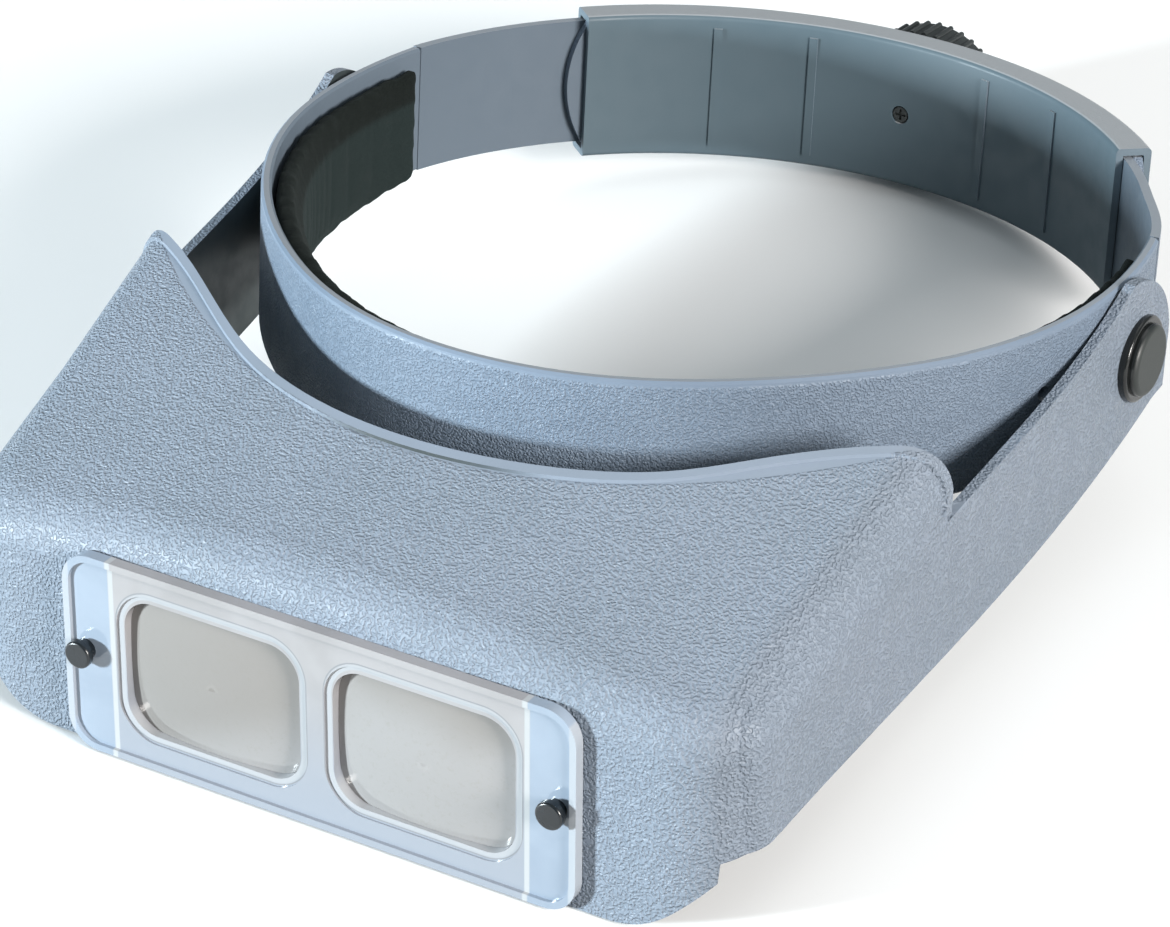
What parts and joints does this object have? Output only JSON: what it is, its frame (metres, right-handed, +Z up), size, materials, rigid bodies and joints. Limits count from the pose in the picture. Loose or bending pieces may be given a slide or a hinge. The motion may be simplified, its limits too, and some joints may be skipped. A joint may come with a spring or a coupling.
{
  "type": "head visor magnifier",
  "caption": "Adjustable headband with a padded brow and a hinged hood that carries a plate of two magnifying lenses in front of the eyes.",
  "frame": {"origin": "middle of the bounding box, on the table that the assembly rests on", "axes": "+Z up, -Y the way the wearer faces, +X the wearer's left; the headband is tipped about 12 degrees down at the rear, as it lies on a table"},
  "size_m": [0.1894, 0.252, 0.0698],
  "materials": {
    "visor_plastic": "grained light blue-grey moulding",
    "clear_plastic": "clear moulding that looks frosty blue-white over the hood",
    "lens": "polished warm grey lens",
    "stud": "glossy black",
    "cap": "satin dark grey",
    "inner_plastic": "natural smooth moulding",
    "steel": "plain spring steel",
    "band_plastic": "finely grained blue-grey moulding",
    "sleeve_plastic": "smooth slate grey moulding",
    "pad_fabric": "black velour over foam",
    "hook_tape": "speckled grey hook tape",
    "knob_plastic": "dark ribbed moulding"
  },
  "bodies": {
    "band": {"band_front": "band_plastic", "brow_pad": "pad_fabric", "hook_strip_front": "hook_tape", "hook_strip_left": "hook_tape", "hook_strip_right": "hook_tape"},
    "visor": {"visor_shell": "visor_plastic", "pivot_cap_left": "cap", "pivot_cap_right": "cap", "pivot_washer_left": "inner_plastic", "pivot_washer_right": "inner_plastic", "pivot_nut_left": "steel", "pivot_nut_right": "steel"},
    "lens_plate": {"lens_frame": "clear_plastic", "lens_left": "lens", "lens_right": "lens"},
    "stud_left": {"lens_stud_left": "stud"},
    "stud_right": {"lens_stud_right": "stud"},
    "sleeve": {"rear_sleeve": "sleeve_plastic"},
    "left_strap": {"strap_left": "band_plastic"},
    "right_strap": {"strap_right": "band_plastic"},
    "knob": {"adjusting_knob": "knob_plastic", "pinion": "inner_plastic", "knob_screw": "steel", "spring_washer": "steel"}
  },
  "joints": [
    {"name": "visor_tilt", "type": "hinge", "parent": "band", "child": "visor", "pos_m": [0, 0.02854, 0.03387], "axis": [-1, 0, 0], "range_deg": [-8, 75]},
    {"name": "lens_plate_pull", "type": "slide", "parent": "visor", "child": "lens_plate", "axis": [0, -0.9899, 0.1421], "range_m": [0, 0.03]},
    {"name": "stud_left_pull", "type": "slide", "parent": "lens_plate", "child": "stud_left", "axis": [0, -0.9899, 0.1421], "range_m": [0, 0.012]},
    {"name": "stud_right_pull", "type": "slide", "parent": "lens_plate", "child": "stud_right", "axis": [0, -0.9899, 0.1421], "range_m": [0, 0.012]},
    {"name": "sleeve_slide", "type": "slide", "parent": "band", "child": "sleeve", "axis": [0, -0.9769, 0.2138], "range_m": [-0.008, 0.008]},
    {"name": "strap_left_wrap", "type": "hinge", "parent": "sleeve", "child": "left_strap", "pos_m": [0, 0.02514, 0.03707], "axis": [0, 0.2138, 0.9769], "range_deg": [-5.3, 5.3]},
    {"name": "strap_right_wrap", "type": "hinge", "parent": "sleeve", "child": "right_strap", "pos_m": [0, 0.02514, 0.03707], "axis": [0, 0.2138, 0.9769], "range_deg": [-5.3, 5.3]},
    {"name": "knob_turn", "type": "hinge", "parent": "sleeve", "child": "knob", "pos_m": [0, 0.12264, 0.01573], "axis": [0, -0.9769, 0.2138], "range_deg": [-91.5, 91.5]}
  ],
  "couplings": [
    {"joint": "strap_left_wrap", "follows": "sleeve_slide", "rad_per_m": 11.36},
    {"joint": "strap_right_wrap", "follows": "sleeve_slide", "rad_per_m": -11.36},
    {"joint": "knob_turn", "follows": "sleeve_slide", "rad_per_m": 197.44}
  ]
}
